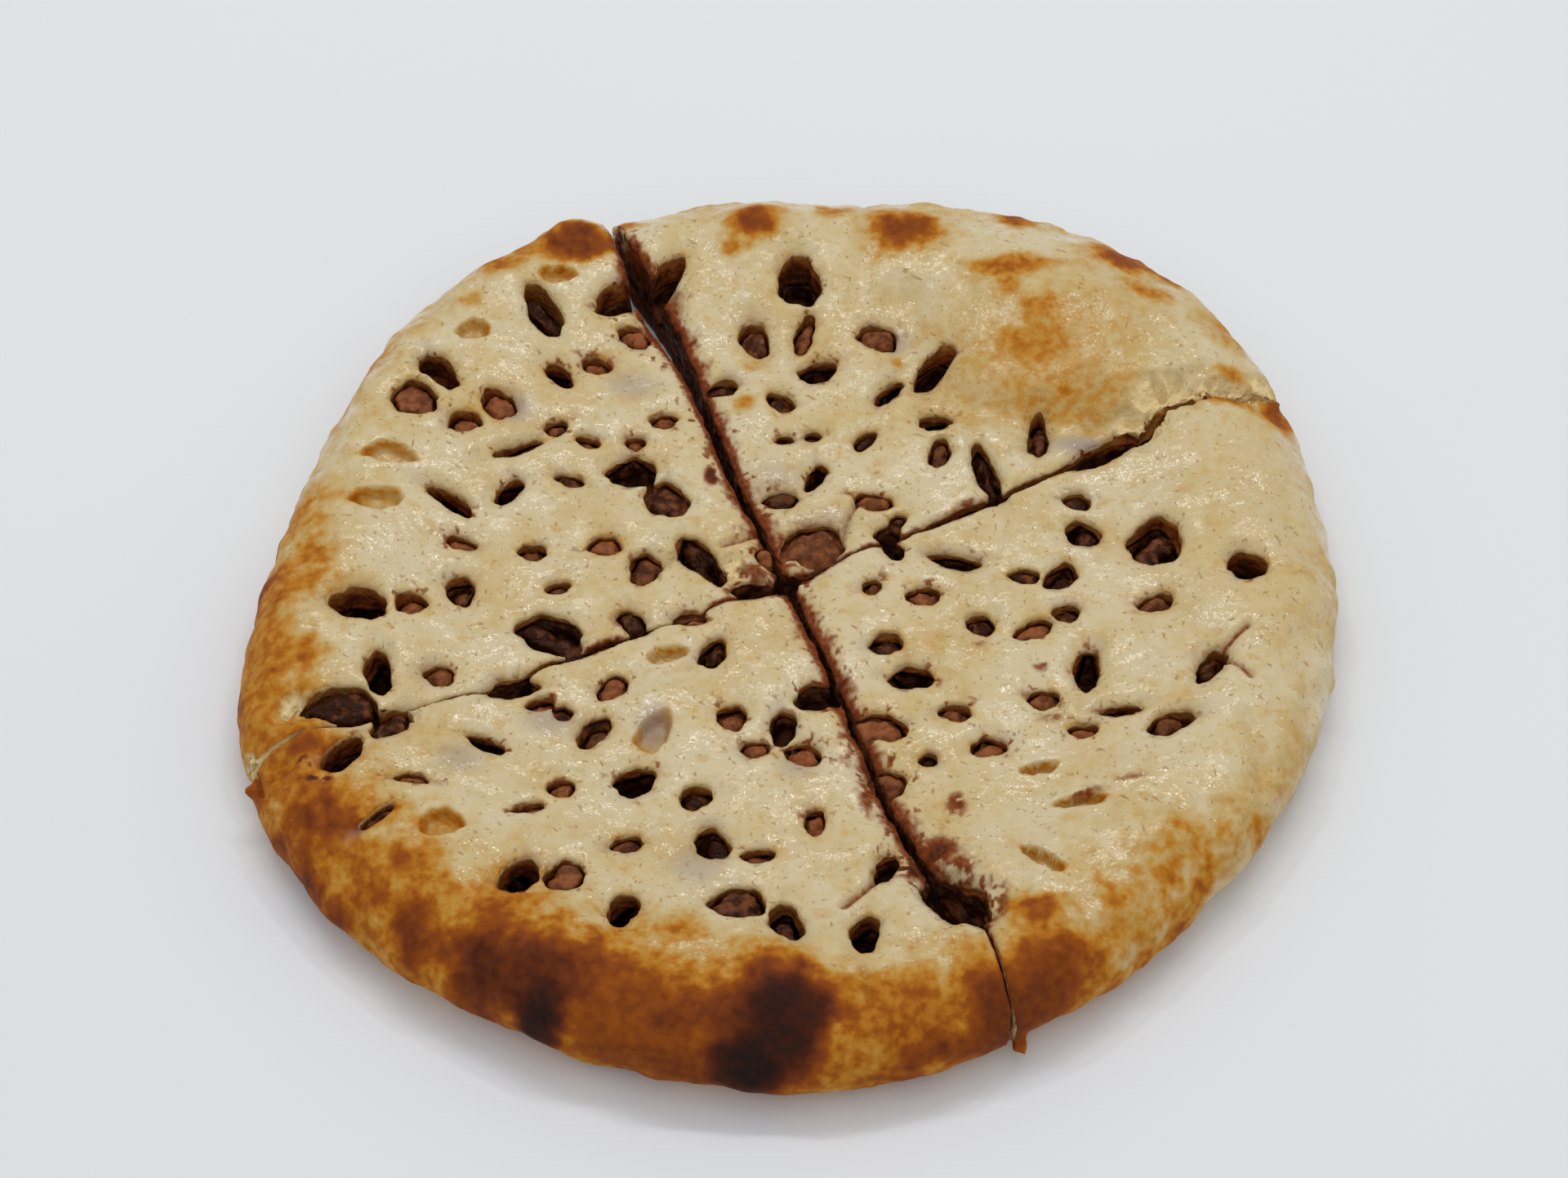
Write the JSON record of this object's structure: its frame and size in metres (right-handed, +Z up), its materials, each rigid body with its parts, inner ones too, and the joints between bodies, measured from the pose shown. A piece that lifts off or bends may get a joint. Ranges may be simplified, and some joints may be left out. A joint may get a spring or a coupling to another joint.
{
  "type": "chocolate naan",
  "caption": "Round stuffed flatbread with a browned puffy rim and a pitted pale top, cut crosswise into quarters that show a dark chocolate chip filling.",
  "frame": {"origin": "middle of the underside, in the centre of the part's box", "axes": "+Z up through the thickness, +Y towards the back of the picture's view, +X to its right"},
  "size_m": [0.1958, 0.206, 0.0224],
  "materials": {
    "dough": "pale baked dough with a buttered sheen, golden to dark brown at the rim",
    "chocolate": "semi-gloss melted chocolate chips"
  },
  "bodies": {
    "root": {"left_dough": "dough", "left_chocolate": "chocolate", "back_dough": "dough", "back_chocolate": "chocolate", "right_dough": "dough", "right_chocolate": "chocolate", "front_dough": "dough", "front_chocolate": "chocolate"}
  },
  "joints": []
}
